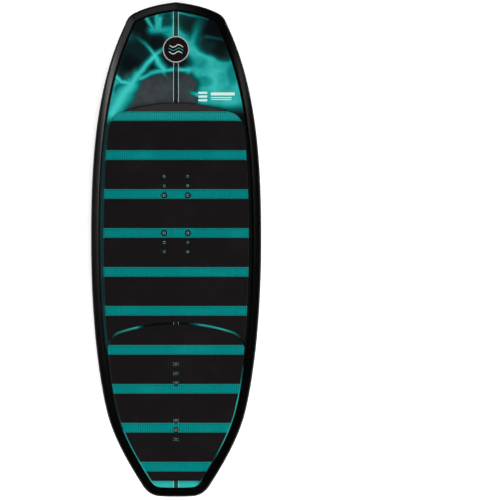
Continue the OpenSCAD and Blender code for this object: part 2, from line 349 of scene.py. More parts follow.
def offset_loop(loop, widths):
    """The loop moved to its left, each edge by its own width."""
    moved = []
    for i, point in enumerate(loop):
        before, after = unit(point - loop[i - 1]), unit(loop[(i + 1) % len(loop)] - point)
        normal_1, normal_2 = np.array([-before[1], before[0]]), np.array([-after[1], after[0]])
        width_1, width_2 = widths[i - 1], widths[i]
        cross = normal_1[0] * normal_2[1] - normal_1[1] * normal_2[0]
        if abs(cross) < 0.15:
            shift = unit(normal_1 + normal_2) * (width_1 + width_2) / 2
        else:
            shift_x = width_1 * normal_2[1] - width_2 * normal_1[1]
            shift_y = normal_1[0] * width_2 - normal_2[0] * width_1
            shift = np.array([shift_x, shift_y]) / cross
        moved.append(point + shift)
    return np.array(moved)


def inside(points, loop):
    """Whether each point lies in the loop."""
    x, y = points[:, 0], points[:, 1]
    result = np.zeros(len(points), bool)
    for a, b in zip(loop, np.roll(loop, -1, axis=0)):
        crosses = (a[1] > y) != (b[1] > y)
        rise = b[1] - a[1] if b[1] != a[1] else 1.0
        result ^= crosses & (x < a[0] + (y - a[1]) * (b[0] - a[0]) / rise)
    return result


def filled(loop, spacing):
    """Flat triangles that fill a loop, on a regular grid of inner points."""
    low, high = loop.min(axis=0), loop.max(axis=0)
    across = np.arange(low[0] + spacing / 2, high[0], spacing)
    along = np.arange(low[1] + spacing / 2, high[1], spacing)
    grid = np.array([(x, y) for y in along for x in across]).reshape(-1, 2)
    room = (0.45 * spacing) ** 2
    grid = [p for p in grid[inside(grid, loop)] if np.sum((loop - p) ** 2, axis=1).min() > room]
    points = [Vector(p) for p in loop] + [Vector(p) for p in grid]
    border = [(i, (i + 1) % len(loop)) for i in range(len(loop))]
    flat, _, triangles, *_ = delaunay_2d_cdt(points, border, [], 1, 1e-9)
    return [tuple(p) for p in flat], [tuple(t) for t in triangles]


def slab(loop, widths, profile, surface, spacing=14 * MM):
    """A closed slab on the board; a profile row is a share of the edge widths and a height."""
    rows = [offset_loop(loop, widths * share) for share, _ in profile]
    walls = [
        (p[0], p[1], surface(p[1]) + height) for row, (_, height) in zip(rows, profile) for p in row
    ]
    parts = [(walls, ring_faces(0, len(loop), len(profile)))]
    for row, (_, height) in ((rows[0], profile[0]), (rows[-1], profile[-1])):
        flat, triangles = filled(row, spacing)
        parts.append(([(x, y, surface(y) + height) for x, y in flat], triangles))
    return joined(parts)


# -------- material building blocks

def srgb(red, green, blue):
    """A linear colour from the 0 to 255 values that a paint card gives."""
    def linear(value):
        share = value / 255
        return share / 12.92 if share <= 0.04045 else ((share + 0.055) / 1.055) ** 2.4
    return linear(red), linear(green), linear(blue), 1.0


def feed(tree, node, inputs):
    """Gives the node its inputs, each a constant, a socket or a field, and hands it back."""
    for key, value in inputs.items():
        if isinstance(value, Field):
            value = value.socket
        if isinstance(value, bpy.types.NodeSocket):
            tree.links.new(value, node.inputs[key])
        else:
            node.inputs[key].default_value = value
    return node


def math_method(operation):
    """A method of Field that adds one math node."""
    return lambda self, *others: self.math(operation, *others)


class Field:
    """A number that varies over a surface. Arithmetic on it adds math nodes to its material."""

    def __init__(self, tree, socket):
        self.tree = tree
        self.socket = socket

    def math(self, operation, *others):
        node = self.tree.nodes.new("ShaderNodeMath")
        node.operation = operation
        feed(self.tree, node, dict(enumerate((self,) + others)))
        return Field(self.tree, node.outputs[0])

    __add__ = math_method("ADD")
    __sub__ = math_method("SUBTRACT")
    __mul__ = math_method("MULTIPLY")
    __truediv__ = math_method("DIVIDE")
    __pow__ = math_method("POWER")
    __abs__ = math_method("ABSOLUTE")
    low = math_method("MINIMUM")
    high = math_method("MAXIMUM")

    def step(self, start, end):
        """0 at start and 1 at end, with a smooth way between; start may be the larger."""
        low, high = (0.0, 1.0) if start < end else (1.0, 0.0)
        node = self.tree.nodes.new("ShaderNodeMapRange")
        node.interpolation_type = "SMOOTHSTEP"
        feed(self.tree, node, {0: self, 1: min(start, end), 2: max(start, end), 3: low, 4: high})
        return Field(self.tree, node.outputs[0])

    def spread(self, low, high):
        """0 to 1 turned into low to high."""
        return self.math("MULTIPLY_ADD", high - low, low)

    def band(self, centre, half, soft):
        """1 within half of the centre, 0 outside, softened over soft."""
        return abs(self - centre).step(half + soft / 2, half - soft / 2)


class Paint:
    """A material under construction, with its shader and the coordinates of its surface."""

    def __init__(self, name, **shader_values):
        self.material = bpy.data.materials.new(name)
        self.material.use_nodes = True
        self.tree = self.material.node_tree
        self.shader = self.tree.nodes["Principled BSDF"]
        self.place = self.tree.nodes.new("ShaderNodeTexCoord").outputs["Object"]
        for key, value in shader_values.items():
            self.shader.inputs[key.replace("_", " ")].default_value = value

    def link(self, name, value):
        feed(self.tree, self.shader, {name: value})

    def axes(self, place=None):
        node = self.tree.nodes.new("ShaderNodeSeparateXYZ")
        feed(self.tree, node, {0: place or self.place})
        return [Field(self.tree, socket) for socket in node.outputs]

    def vector(self, operation, *values):
        node = self.tree.nodes.new("ShaderNodeVectorMath")
        node.operation = operation
        return feed(self.tree, node, dict(enumerate(values))).outputs[0]

    def scaled(self, x, y, z):
        return self.vector("MULTIPLY", self.place, (x, y, z))

    def noise(self, scale, detail, roughness, place):
        node = self.tree.nodes.new("ShaderNodeTexNoise")
        inputs = {"Vector": place or self.place, "Scale": scale, "Detail": detail, "Roughness": roughness}
        return feed(self.tree, node, inputs)

    def grain(self, scale, detail=3.0, roughness=0.5, place=None):
        return Field(self.tree, self.noise(scale, detail, roughness, place).outputs["Fac"])

    def cells(self, scale, feature="DISTANCE_TO_EDGE", place=None):
        node = self.tree.nodes.new("ShaderNodeTexVoronoi")
        node.feature = feature
        feed(self.tree, node, {"Vector": place or self.place, "Scale": scale})
        return Field(self.tree, node.outputs["Distance"])

    def warped(self, scale, amount, detail=2.0, place=None):
        """Coordinates pushed about by noise, by up to about half of amount."""
        colour = self.noise(scale, detail, 0.5, place).outputs["Color"]
        push = self.vector("MULTIPLY_ADD", colour, (amount,) * 3, (-amount / 2,) * 3)
        return self.vector("ADD", place or self.place, push)

    def mix(self, share, first, second):
        """Colour between the first and the second; each is a colour or a colour socket."""
        node = self.tree.nodes.new("ShaderNodeMix")
        node.data_type = "RGBA"
        return feed(self.tree, node, {0: share, 6: first, 7: second}).outputs[2]

    def layered(self, colour, *layers):
        """The colour with each layer, a mask and its colour, laid over it."""
        for mask, tint in layers:
            colour = self.mix(mask, colour, tint)
        return colour

    def ramp(self, value, stops):
        node = feed(self.tree, self.tree.nodes.new("ShaderNodeValToRGB"), {0: value})
        elements = node.color_ramp.elements
        elements[0].position, elements[0].color = stops[0]
        elements[1].position, elements[1].color = stops[-1]
        for position, colour in stops[1:-1]:
            elements.new(position).color = colour
        return node.outputs[0]

    def bump(self, height, distance, strength):
        node = self.tree.nodes.new("ShaderNodeBump")
        feed(self.tree, node, {"Distance": distance, "Strength": strength, "Height": height})
        self.link("Normal", node.outputs[0])

    def done(self, colour, roughness, height, distance, strength):
        """The material, its colour, roughness and bump linked to the shader."""
        self.link("Base Color", colour)
        self.link("Roughness", roughness)
        self.bump(height, distance, strength)
        return self.material


# -------- materials

# Dark cells of the deck print on the nose: middle, half sizes and tilt in degrees, darkness
DECK_CELLS = [
    (-112, 524, 44, 52, -14, 0.9), (-128, 486, 32, 36, 10, 0.88), (-98, 607, 34, 28, 20, 0.97),
    (-76, 570, 20, 22, 30, 0.9), (-154, 434, 12, 12, 0, 0.45), (-58, 428, 52, 48, 10, 0.95),
    (-98, 388, 46, 30, 35, 0.95), (13, 446, 40, 32, -8, 0.95), (20, 400, 36, 24, 15, 0.92),
    (-46, 552, 22, 27, -20, 0.96), (-8, 506, 44, 25, 0, 0.96), (-64, 488, 12, 11, 10, 0.92),
    (-58, 620, 9, 10, 0, 0.6), (-24, 613, 13, 22, -10, 0.7), (-33, 636, 26, 8, 0, 0.45),
    (36, 614, 34, 26, -10, 0.76), (98, 605, 38, 34, -30, 0.99), (124, 586, 24, 36, 20, 0.97),
    (100, 548, 36, 22, -10, 0.84), (132, 538, 28, 24, 0, 0.8), (66, 592, 44, 30, -15, 0.5),
    (66, 506, 17, 14, 0, 0.16), (155, 476, 15, 26, 0, 0.22), (76, 454, 20, 13, 0, 0.24),
]

# Bright veins of the deck print: two ends, half width, brightness at each end
DECK_VEINS = [
    ((-58, 522), (-84, 497), 7, 1.0, 0.92), ((-84, 497), (-104, 471), 7, 0.92, 0.92),
    ((-104, 471), (-120, 446), 11, 0.92, 0.95), ((-120, 446), (-140, 420), 16, 0.95, 0.95),
    ((-140, 420), (-172, 366), 20, 0.95, 0.95), ((-58, 522), (-32, 541), 5, 1.0, 0.6),
    ((-58, 522), (-84, 556), 4, 1.0, 0.55), ((-84, 556), (-118, 580), 4, 0.55, 0.08),
    ((-58, 522), (-46, 500), 8, 1.0, 0.92), ((-46, 500), (-32, 484), 8, 0.92, 0.95),
    ((-32, 484), (34, 483), 5, 0.9, 0.9), ((34, 483), (62, 492), 9, 0.9, 0.6),
    ((-98, 462), (-70, 477), 5, 0.9, 0.8), ((-70, 477), (-32, 482), 5, 0.8, 0.9),
    ((-36, 480), (-18, 456), 3, 0.9, 0.0), ((-164, 470), (-149, 452), 5, 1.0, 0.95),
    ((-149, 452), (-122, 446), 6, 0.95, 0.95), ((56, 418), (14, 430), 6, 0.9, 0.0),
    ((-84, 634), (-62, 596), 5, 0.85, 0.8), ((-50, 638), (-50, 596), 6, 0.8, 0.85),
    ((-66, 592), (-8, 594), 9, 0.75, 0.7), ((4, 639), (86, 620), 3, 0.75, 0.3),
    ((64, 612), (44, 556), 10, 0.32, 0.8), ((82, 574), (138, 566), 3, 0.3, 0.12),
]

# Bright stretches of the print that show beside and between the pads
AFT_VEINS = [
    ((-164, -230), (-108, -210), 9, 0.8, 1.0), ((-108, -210), (-84, -206), 7, 1.0, 0.0),
    ((30, -200), (66, -202), 8, 0.0, 0.9), ((66, -202), (130, -216), 9, 0.9, 1.0),
    ((130, -216), (166, -232), 8, 1.0, 0.7), ((-66, -634), (50, -634), 16, 0.86, 0.86),
    ((50, -634), (76, -630), 14, 0.86, 0.2), ((-172, -350), (-160, -410), 4, 0.1, 0.2),
    ((-160, -410), (-143, -482), 5, 0.2, 0.4), ((-143, -482), (-138, -495), 6, 0.4, 0.8),
    ((-138, -495), (-67, -622), 8, 0.8, 0.9), ((181, -326), (162, -410), 8, 0.3, 1.0),
    ((162, -410), (116, -556), 7, 1.0, 0.8), ((116, -556), (98, -590), 6, 0.8, 0.0),
]


def cell_field(x, y, cells):
    """How light a spot is after the dark cells have been laid on it, 0 to 1."""
    shades = []
    for centre_x, centre_y, half_x, half_y, tilt, darkness in cells:
        cos, sin = math.cos(math.radians(tilt)), math.sin(math.radians(tilt))
        dx, dy = x - centre_x * MM, y - centre_y * MM
        u = (dx * cos + dy * sin) / (half_x * MM)
        v = (dy * cos - dx * sin) / (half_y * MM)
        inner = (u * u + v * v).step(2.2, 0.3)
        shades.append((inner * darkness).spread(1.0, 0.0))
    return reduce(Field.__mul__, shades)


def vein_field(x, y, veins):
    """Brightness of the veins, 0 to 1."""
    lines = []
    for (x1, y1), (x2, y2), half, first, last in veins:
        length = math.hypot(x2 - x1, y2 - y1)
        ux, uy = (x2 - x1) / length, (y2 - y1) / length
        dx, dy = x - x1 * MM, y - y1 * MM
        along = (dx * ux + dy * uy).high(0.0).low(length * MM)
        off_x, off_y = dx - along * ux, dy - along * uy
        distance = (off_x * off_x + off_y * off_y).math("SQRT")
        brightness = along * ((last - first) / (length * MM)) + first
        lines.append(distance.step(half * 3 * MM, 0.0) ** 1.4 * brightness)
    return reduce(Field.high, lines)


def boxes_mask(x, y, boxes):
    """1 inside any of the upright boxes, given in millimetres as low x, high x, low y, high y."""
    masks, soft = [], 0.6 * MM
    for low_x, high_x, low_y, high_y in boxes:
        inside_x = x.band((low_x + high_x) / 2 * MM, (high_x - low_x) / 2 * MM, soft)
        inside_y = y.band((low_y + high_y) / 2 * MM, (high_y - low_y) / 2 * MM, soft)
        masks.append(inside_x * inside_y)
    return reduce(Field.high, masks)


def deck_print():
    """Gloss laminate over a teal, black and grey marbled print with two light pinlines, and a painted
    highlight on the print's left strip beside the front pad.
    """
    paint = Paint("deck_print", Roughness=0.2, Coat_Weight=0.55, Coat_Roughness=0.07)
    x, y, _ = paint.axes()
    bent_x, bent_y, _ = paint.axes(paint.warped(26, 9 * MM, 3.0, paint.warped(9, 12 * MM)))
    cloud = paint.grain(16, 4.0, 0.55).step(0.3, 0.7)
    aft = y.step(0.36, 0.4)
    cells = cell_field(bent_x, bent_y, DECK_CELLS)
    # Painted highlight: the print on the left strip beside the front pad is lifted to a lighter teal.
    left_painted_highlight = x.step(-0.13, -0.18) * y.step(-0.3, -0.24) * 0.3
    body = cells * cloud.spread(0.68, 0.9) * aft.high(left_painted_highlight)
    light = body.high(vein_field(bent_x, bent_y, DECK_VEINS)).high(vein_field(x, y, AFT_VEINS))
    teal = paint.ramp(light, [
        (0.0, srgb(3, 9, 10)),
        (0.15, srgb(12, 38, 39)),
        (0.4, srgb(2, 78, 76)),
        (0.65, srgb(12, 130, 126)),
        (0.85, srgb(42, 162, 156)),
        (1.0, srgb(62, 198, 190)),
    ])
    smoke = paint.grain(26, 4.0, 0.6).step(0.3, 0.7).spread(0.6, 1.0) * cells.step(0.5, 0.12)
    low_cells = y.step(0.49, 0.45) * x.step(0.075, 0.05)
    shore = x.step(-0.16, -0.12) * aft
    marble = paint.mix(smoke * low_cells * shore * light.step(0.5, 0.2), teal, srgb(60, 65, 67))
    line = abs(x).band(PINLINE_X, 0.6 * MM, 0.5 * MM)
    between = abs(x).step(PINLINE_X - 0.1 * MM, PINLINE_X - 0.9 * MM)
    marks = boxes_mask(x, y, [
        (60, 84, 420, 426), (60, 84, 410, 416), (60, 84, 400, 406),
        (94, 158, 416, 424), (94, 150, 409, 411.5), (94, 150, 404, 406),
    ])
    colour = paint.layered(
        marble,
        (between * 0.88, srgb(12, 30, 32)),
        (line * 0.9, srgb(178, 200, 196)),
        (marks * 0.85, srgb(214, 232, 228)),
    )
    return paint.done(colour, paint.grain(60).spread(0.14, 0.28), paint.grain(45, 2.0), 0.25 * MM, 0.25)


def slanted_marks(x, y):
    """The ten slanted marks on the right of the base print, out over the chine."""
    inner = y * MARK_INNER_SLOPE + MARK_INNER_X
    drop = (x - MARK_MIDDLE_X) * MARK_SLOPE
    phase = (y + drop - MARK_FRONT_Y) / -MARK_PITCH
    repeat = phase - phase.math("FLOOR")
    row = phase.step(-0.02, 0.0) * phase.step(MARK_COUNT - 0.48, MARK_COUNT - 0.5)
    return (x - inner).step(-0.5 * MM, 0.5 * MM) * repeat.band(0.248, 0.248, 0.012) * row


def base_colour(paint, x, y):
    """The base print's colour: grey marble on black with the slanted teal marks, for the base laminate.
    """
    bent = paint.warped(7, 90 * MM, 3.0, paint.warped(22, 18 * MM))
    edge = paint.cells(8.2, place=bent)
    fine = paint.cells(15, place=paint.warped(11, 60 * MM))
    smoke = paint.grain(6.5, 4.0, 0.6)
    veins = edge.step(0.015, 0.16) * fine.step(0.0, 0.07).spread(0.75, 1.0)
    grey = veins * smoke.step(0.36, 0.56) * y.step(-0.176, -0.17)
    marble = paint.mix(grey * paint.grain(90).spread(0.86, 1.0), srgb(5, 5, 6), srgb(66, 66, 67))
    marks = slanted_marks(x, y)
    teal = paint.mix(paint.grain(5, 2.0).step(0.3, 0.7), srgb(4, 160, 150), srgb(30, 182, 172))
    return paint.mix(marks, marble, teal)


def mark_distance(x, y, centre_y):
    """Distance from a mark's centre on the board's middle line."""
    along = y - centre_y
    return (x * x + along * along).math("SQRT")


def with_waves(paint, colour, x, y, centre_y, reach, gap, height, waves, half, pale, middle):
    """The colour with three wavy lines laid over it, the middle one in its own colour."""
    for offset, tint in ((gap, pale), (0.0, middle), (-gap, pale)):
        crest = (x * waves).math("SINE") * height
        wave = (y - (centre_y + offset) - crest).band(0.0, half, LINE_SOFTNESS)
        colour = paint.mix(wave * reach, colour, tint)
    return colour


def base_print():
    """Gloss laminate over a black and grey marbled print, with plain bars and a wave mark."""
    paint = Paint("base_print", Roughness=0.3, Coat_Weight=0.4, Coat_Roughness=0.1)
    x, y, _ = paint.axes()
    colour = base_colour(paint, x, y)
    distance = mark_distance(x, y, EMBLEM_Y)
    ring = distance.band(EMBLEM_R, 3.2 * MM, LINE_SOFTNESS)
    disc = distance.step(98.5 * MM, 97.5 * MM)
    colour = paint.mix(disc * 0.7, colour, srgb(12, 12, 13))
    reach = distance.step(72 * MM, 70 * MM)
    colour = with_waves(
        paint, colour, x, y, EMBLEM_Y, reach, 34 * MM, 13 * MM, 62.0, 3.4 * MM,
        srgb(235, 235, 235), srgb(64, 180, 166),
    )
    bars = boxes_mask(x, y, [(BAR_LOW_X, BAR_HIGH_X, low_y, high_y) for low_y, high_y in BASE_BARS])
    marks = boxes_mask(x, y, [
        (-107, -77, -223, -218), (-107, -77, -236, -230), (-107, -77, -248, -243),
        (-190, -118, -226, -218), (-170, -118, -236, -233), (-178, -118, -246, -243),
    ])
    colour = paint.layered(
        colour,
        (ring, srgb(240, 240, 240)),
        (bars, srgb(26, 150, 142)),
        (marks, srgb(206, 208, 208)),
    )
    return paint.done(colour, paint.grain(50).spread(0.22, 0.36), paint.grain(40, 2.0), 0.2 * MM, 0.25)


def rail_gloss():
    """Polished black of the rail's bevel."""
    paint = Paint("rail_gloss", Roughness=0.18)
    colour = paint.mix(paint.grain(14), srgb(1, 1, 1), srgb(4, 3, 3))
    polish = paint.grain(35, 4.0).spread(0.14, 0.22)
    return paint.done(colour, polish, paint.grain(900, 2.0), 0.08 * MM, 0.25)


def rail_wall():
    """Grained black of the rail's outer wall and chine, with the base print carried over the chine."""
    paint = Paint("rail_wall", Roughness=0.5, Specular_IOR_Level=0.05)
    x, y, z = paint.axes()
    black = paint.mix(paint.grain(14), srgb(2, 2, 2), srgb(6, 5, 5))
    under = z.step(0.022, 0.019) * y.step(0.44, 0.3)
    colour = paint.mix(under * slanted_marks(x, y), black, srgb(8, 146, 138))
    polish = paint.grain(35, 4.0).spread(0.42, 0.58)
    return paint.done(colour, polish, paint.grain(700, 2.0), 0.12 * MM, 0.5)


def foam(name, dark, light, scuff, specular=0.06, roughness=0.8, border=None):
    """Closed-cell foam: brushed grain with pores and rubbed patches; where a border colour is given,
    lighter along each stripe's edges and towards the nose.
    """
    paint = Paint(name, Roughness=roughness, Specular_IOR_Level=specular)
    pores = paint.cells(1500, "F1")
    grain = paint.grain(420, 3.0, 0.6)
    rubbed = paint.grain(11, 4.0, 0.6).step(0.45, 0.75)
    colour = paint.mix(rubbed * 0.5, paint.mix(grain, dark, light), scuff)
    if border:
        _, y, _ = paint.axes()
        count = (y - FIRST_STRIPE_Y) / -STRIPE_PITCH + 0.5
        off_middle = abs(count - count.math("FLOOR") - 0.5) * STRIPE_PITCH
        edge = off_middle.step(STRIPE_H / 2 - 3.4 * MM, STRIPE_H / 2 - 1.8 * MM)
        colour = paint.mix(edge.high(y.step(0.33, 0.37) * 0.6) * 0.7, colour, border)
    polish = rubbed.spread(roughness + 0.08, roughness - 0.08)
    return paint.done(colour, polish, grain * 0.7 + pores * 0.3, 0.25 * MM, 0.6)


def moulded(name, dark, light, roughness):
    """Moulded plastic with a fine spark-eroded grain."""
    paint = Paint(name, Roughness=roughness)
    colour = paint.mix(paint.grain(60, 4.0), dark, light)
    polish = paint.grain(160).spread(roughness - 0.07, roughness + 0.1)
    return paint.done(colour, polish, paint.grain(1400, 2.0), 0.06 * MM, 0.6)


def metal(name, dark, light, roughness, metallic=1.0):
    """Turned or milled metal with fine tool marks, or metal paint."""
    paint = Paint(name, Metallic=metallic, Roughness=roughness)
    marks = paint.grain(900, 2.0, 0.5, paint.scaled(1, 1, 6))
    colour = paint.mix(paint.grain(80), dark, light)
    return paint.done(colour, marks.spread(roughness - 0.1, roughness + 0.15), marks, 0.03 * MM, 0.4)


def core_foam(name, dark, light):
    """Expanded foam beads."""
    paint = Paint(name, Roughness=0.85)
    beads = paint.cells(260)
    paint.link("Base Color", paint.mix(beads.step(0.0, 0.2), dark, light))
    paint.bump(beads, 0.5 * MM, 0.6)
    return paint.material


def plywood():
    """Pale plywood with grain along the board."""
    paint = Paint("stringer_wood", Roughness=0.6)
    rings = paint.grain(40, 5.0, 0.6, paint.scaled(1, 0.06, 1))
    paint.link("Base Color", paint.mix(rings, srgb(198, 160, 112), srgb(222, 190, 146)))
    paint.bump(rings, 0.2 * MM, 0.5)
    return paint.material


def badge_face():
    """Gloss black resin dome over a generic wave mark."""
    paint = Paint("badge_face", Roughness=0.12, Coat_Weight=0.8, Coat_Roughness=0.03)
    x, y, _ = paint.axes()
    reach = mark_distance(x, y, BADGE_Y).step(20.5 * MM, 19.5 * MM)
    colour = paint.mix(paint.grain(40), srgb(14, 12, 13), srgb(20, 17, 18))
    colour = with_waves(
        paint, colour, x, y, BADGE_Y, reach, 9 * MM, 3.2 * MM, 210.0, 1.1 * MM,
        srgb(205, 208, 208), srgb(48, 128, 118),
    )
    return paint.done(colour, paint.grain(70).spread(0.08, 0.18), paint.grain(50, 2.0), 0.1 * MM, 0.2)


def label_face():
    """White vinyl with an orange header and plain grey bars."""
    paint = Paint("label_face", Roughness=0.5, Coat_Weight=0.2)
    x, y, _ = paint.axes()
    top = (LABEL_Y + LABEL_L / 2) / MM
    paper = paint.mix(paint.grain(120), srgb(226, 226, 222), srgb(240, 240, 237))
    header = y.step((top - 11.5) * MM, (top - 11) * MM)
    colour = paint.mix(header, paper, srgb(222, 92, 34))
    rows = y * (1 / (5.2 * MM))
    bar = (rows - rows.math("FLOOR")).band(0.5, 0.2, 0.1)
    page = y.band((top - 54) * MM, 36 * MM, 0.5 * MM) * abs(x).step(45 * MM, 44.5 * MM)
    ragged = paint.grain(70, 1.0, 0.5, paint.scaled(0.4, 2.4, 0)).step(0.36, 0.44)
    colour = paint.mix(bar * page * ragged * 0.75, colour, srgb(120, 120, 120))
    polish = paint.grain(90, 2.0).spread(0.42, 0.56)
    return paint.done(colour, polish, paint.grain(500, 2.0), 0.04 * MM, 0.4)


DECK = deck_print()
BASE = base_print()
RAIL = rail_gloss()
RAIL_WALL = rail_wall()
PAD_BLACK = foam("pad_black", srgb(17, 15, 16), srgb(24, 21, 22), srgb(27, 24, 25))
# Lighter copy of the black foam for the front pad's first band: painted light, standing in for the light
# the real band catches on its slope towards the nose.
PAD_FRONT_BAND_PAINTED_LIGHT = foam("pad_front_band_painted_light", srgb(38, 34, 35), srgb(50, 46, 47), srgb(56, 52, 52))
# Darker copy of the black foam for the pads' sloping bevel faces: painted shade that offsets the extra
# light the low side lamps throw on them; it is also glossier.
PAD_EDGE_PAINTED_SHADE = foam("pad_edge_painted_shade", srgb(10, 9, 9), srgb(15, 13, 14), srgb(18, 16, 17), 0.6, 0.45)
PAD_TEAL = foam(
    "pad_teal", srgb(0, 92, 92), srgb(2, 108, 108), srgb(8, 116, 115), border=srgb(34, 142, 136)
)
# Lighter copy of the teal foam for the sheet's sloping faces, its bevels and hole lips: painted
# highlight; it is also glossier.
TEAL_EDGE_PAINTED_HIGHLIGHT = foam("teal_edge_painted_highlight", srgb(10, 118, 116), srgb(20, 132, 129), srgb(34, 142, 138), 0.9, 0.4)
RIB_TEAL = foam(
    "rib_teal", srgb(0, 118, 117), srgb(6, 134, 132), srgb(16, 142, 138), border=srgb(40, 152, 146)
)
NYLON = moulded("track_nylon", srgb(48, 48, 52), srgb(62, 62, 67), 0.5)
INSERT_NYLON = moulded("insert_nylon", srgb(16, 16, 17), srgb(26, 26, 28), 0.45)
NUT_STEEL = metal("nut_steel", srgb(52, 52, 56), srgb(72, 72, 77), 0.42)
BUSH_STEEL = metal("bush_steel", srgb(176, 184, 182), srgb(210, 216, 214), 0.3, 0.2)
SILVER = metal("badge_silver", srgb(176, 176, 178), srgb(196, 196, 198), 0.45, 0.3)
BADGE = badge_face()
LABEL = label_face()
CORE = core_foam("core_foam", srgb(214, 214, 208), srgb(240, 240, 235))
HARD_FOAM = core_foam("hard_foam", srgb(176, 156, 92), srgb(214, 194, 128))
WOOD = plywood()


# -------- rail and skins

def make_rail():
    points = []
    for chine, band, height, drop in RAIL_SECTION:
        inset = chine * CHINE_W + band * RAIL_WIDTHS
        for x, y in OUTLINE + INWARDS * inset[:, None]:
            points.append((x, y, base_z(y) * (1 - height) + deck_z(y) * height - drop))
    faces = ring_faces(0, len(OUTLINE), len(RAIL_SECTION), closed_rows=True)
    rail = new_piece("rail_bevelled", points, faces, RAIL, 24)
    mark_faces(rail, RAIL_WALL, -1.0, 0.75)
    add_piece(rail, "rail", "rail_band")


def skin_grid(low_height, high_height, surface):
    """A closed skin inside the rail, in rows that run across the board between paired points."""
    edge = INNER_OUTLINE[: HALF_COUNT + 1]
    columns = 28
    width = columns + 1
    shares = np.linspace(-1, 1, width)
    heights = (low_height, high_height)
    vertices = [(x * s, y, surface(y) + z) for z in heights for x, y in edge for s in shares]
    rows = len(edge)
    count = rows * width
    faces = []
    for r in range(rows - 1):
        for c in range(columns):
            a, b, d, e = r * width + c, r * width + c + 1, (r + 1) * width + c + 1, (r + 1) * width + c
            faces.append((a, b, d, e))
            faces.append((count + e, count + d, count + b, count + a))
        for c in (0, columns):
            a, b = r * width + c, (r + 1) * width + c
            faces.append((a, b, count + b, count + a))
    return vertices, faces


def insert_cutter(places, profile):
    """Round cutters at the inserts; the profile's heights are over the deck."""
    parts = [lathe((x, y), [(radius, deck_z(y) + z) for radius, z in profile], 40) for x, y in places]
    return new_piece("insert_cutter", *joined(parts), PAD_BLACK)


def make_deck():
    deck = new_piece("deck_laminate", *skin_grid(-SKIN_T, 0.0, deck_z), DECK)
    reach = 4 * SKIN_T
    profile = [(0, -reach), (HOUSING_R, -reach), (HOUSING_R, reach), (0, reach)]
    subtract(deck, insert_cutter(ALL_INSERTS, profile))
    add_piece(deck, "deck_print", "deck_skin")


def slot_loop(side):
    """Outline of a track's slot, anticlockwise: round ends, wide entry and its taper."""
    half, straight = SLOT_W / 2, (SLOT_L - SLOT_W) / 2
    entry, top, bottom = ENTRY_W / 2, ENTRY_L / 2, -ENTRY_L / 2
    right = [(half, bottom - ENTRY_TAPER_L), (entry, bottom), (entry, top), (half, top)]
    front = [(half * math.cos(t), straight + half * math.sin(t)) for t in np.linspace(0, math.pi, 17)]
    left = [(-x, y) for x, y in reversed(right)]
    rear = [(-x, -y) for x, y in front]
    return np.array(right + front + left + rear) + (side * TRACK_X, TRACK_Y)


def slot_cutter(side):
    loop = slot_loop(side)
    count = len(loop)
    vertices = [(x, y, z) for z in (-SKIN_T, 2 * SKIN_T) for x, y in loop]
    faces = ring_faces(0, count, 2) + [tuple(range(count)), tuple(range(count, 2 * count))]
    return new_piece("slot_cutter", vertices, faces, BASE)


def make_base():
    base = new_piece("base_laminate", *skin_grid(0.0, SKIN_T, base_z), BASE)
    for side in (-1, 1):
        subtract(base, slot_cutter(side))
    add_piece(base, "base_print", "base_skin")


# -------- pads

def arc_drop(x, radius):
    return radius - math.sqrt(radius * radius - x * x)


def arched_y(x, middle_y, arc_r, corner_r):
    """A pad's front edge: an arc with a tighter corner near the rail."""
    beyond = min(max(abs(x) - CORNER_START_X, 0.0), corner_r)
    return middle_y - arc_drop(x, arc_r) - arc_drop(beyond, corner_r)


def front_edge_y(x):
    return arched_y(x, FRONT_PAD_Y, FRONT_ARC_R, FRONT_CORNER_R)


def tail_edge_y(x):
    return arched_y(x, TAIL_PAD_Y, TAIL_ARC_R, TAIL_CORNER_R)


def front_rear_edge_y(x):
    return max(tail_edge_y(x) + PAD_GAP, LOWEST_FRONT_PAD_Y)


SIDE = pad_outline()[: HALF_COUNT + 1]
SIDE_Y = SIDE[::-1, 1]
SIDE_X = SIDE[::-1, 0]


def side_x(y):
    return float(np.interp(y, SIDE_Y, SIDE_X))


def corner_x(edge):
    """Where an edge line of a pad meets the pad's right side."""
    low, high = 0.0, WIDEST_PAD_X
    for _ in range(40):
        middle = (low + high) / 2
        if middle < side_x(edge(middle)):
            low = middle
        else:
            high = middle
    return low


def pad_plan(front, rear):
    """Outline of a pad, anticlockwise, between its front and rear edge lines."""
    front_x, rear_x = corner_x(front), corner_x(rear)
    top = [(x, front(x)) for x in np.linspace(front_x, -front_x, PAD_EDGE_POINTS)]
    bottom = [(x, rear(x)) for x in np.linspace(-rear_x, rear_x, PAD_EDGE_POINTS)]
    high, low = front(front_x), rear(rear_x)
    side_y = np.linspace(high, low, 2 + int((high - low) / PAD_SIDE_STEP))[1:-1]
    left = [(-side_x(y), y) for y in side_y]
    right = [(side_x(y), y) for y in side_y[::-1]]
    return np.array(top + left + bottom + right)


def clipped(loop, line_y, keep_above):
    """The part of a loop on one side of a line across the board."""
    sign = 1 if keep_above else -1
    result = []
    for a, b in zip(loop, np.roll(loop, -1, axis=0)):
        side_a, side_b = sign * (a[1] - line_y), sign * (b[1] - line_y)
        if side_a >= 0:
            result.append(a)
        if side_a * side_b < 0:
            result.append(a + (b - a) * side_a / (side_a - side_b))
    return np.array(result)


def stripe_y(k):
    return FIRST_STRIPE_Y - k * STRIPE_PITCH


def edge_widths(loop, lines):
    """Bevel widths: narrow where an edge lies on a stripe line, elsewhere widening to the tail."""
    widths = []
    for a, b in zip(loop, np.roll(loop, -1, axis=0)):
        is_cut = any(abs(a[1] - y) < 1e-6 and abs(b[1] - y) < 1e-6 for y in lines)
        side = float(np.interp(a[1], (TAIL_BEVEL_Y, SIDE_BEVEL_Y), (TAIL_BEVEL, SIDE_BEVEL)))
        widths.append(CUT_BEVEL if is_cut else side)
    return np.array(widths)


